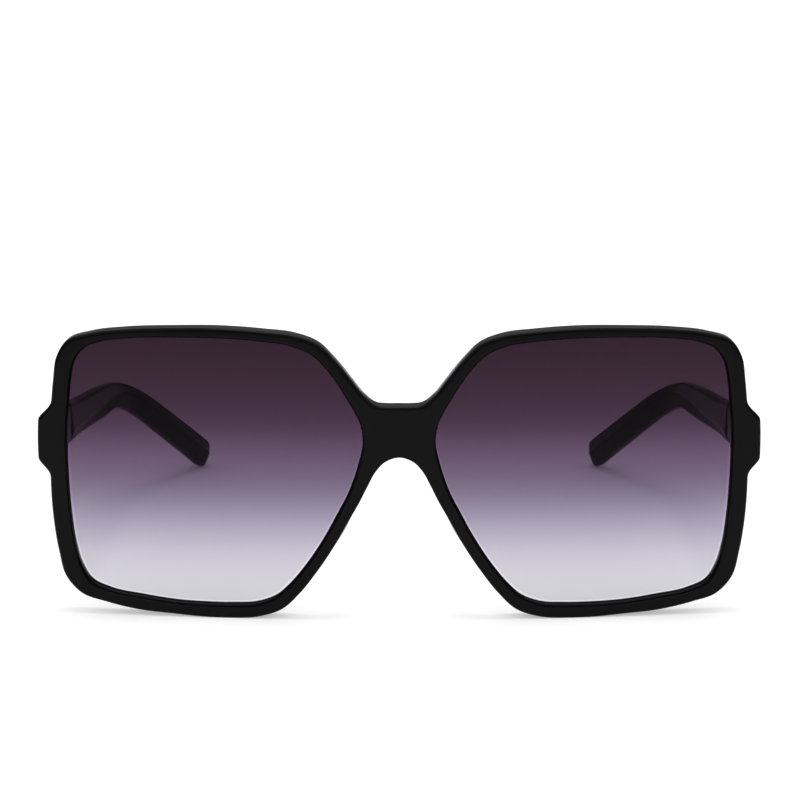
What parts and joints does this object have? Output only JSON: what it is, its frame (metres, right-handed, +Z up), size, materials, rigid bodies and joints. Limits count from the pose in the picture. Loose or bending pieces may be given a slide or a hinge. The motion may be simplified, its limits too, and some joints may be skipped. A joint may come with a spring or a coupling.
{
  "type": "oversized sunglasses",
  "caption": "Oversized squared sunglasses with black frame, purple-grey gradient lenses and folding temples on barrel hinges.",
  "frame": {"origin": "middle of the footprint, on the surface that the open sunglasses stand on", "axes": "+X towards the wearer's left temple, +Y back along the temples, +Z up; the front looks towards -Y"},
  "size_m": [0.15, 0.1396, 0.0614],
  "materials": {
    "black_plastic": "polished",
    "gradient_lens": "polished, tinted, darker at the top",
    "hinge_steel": "satin"
  },
  "bodies": {
    "front": {"front_frame": "black_plastic", "lens_left": "gradient_lens", "lens_right": "gradient_lens", "front_hinge_left": "hinge_steel", "front_hinge_right": "hinge_steel", "hinge_screw_left": "hinge_steel", "hinge_screw_right": "hinge_steel"},
    "left_temple": {"temple_left": "black_plastic", "temple_hinge_left": "hinge_steel"},
    "right_temple": {"temple_right": "black_plastic", "temple_hinge_right": "hinge_steel"}
  },
  "joints": [
    {"name": "left_temple_fold", "type": "hinge", "parent": "front", "child": "left_temple", "pos_m": [0.0709, -0.05682, 0.0375], "axis": [0, 0, 1], "range_deg": [0, 82]},
    {"name": "right_temple_fold", "type": "hinge", "parent": "front", "child": "right_temple", "pos_m": [-0.0709, -0.05682, 0.0375], "axis": [0, 0, -1], "range_deg": [0, 75]}
  ]
}
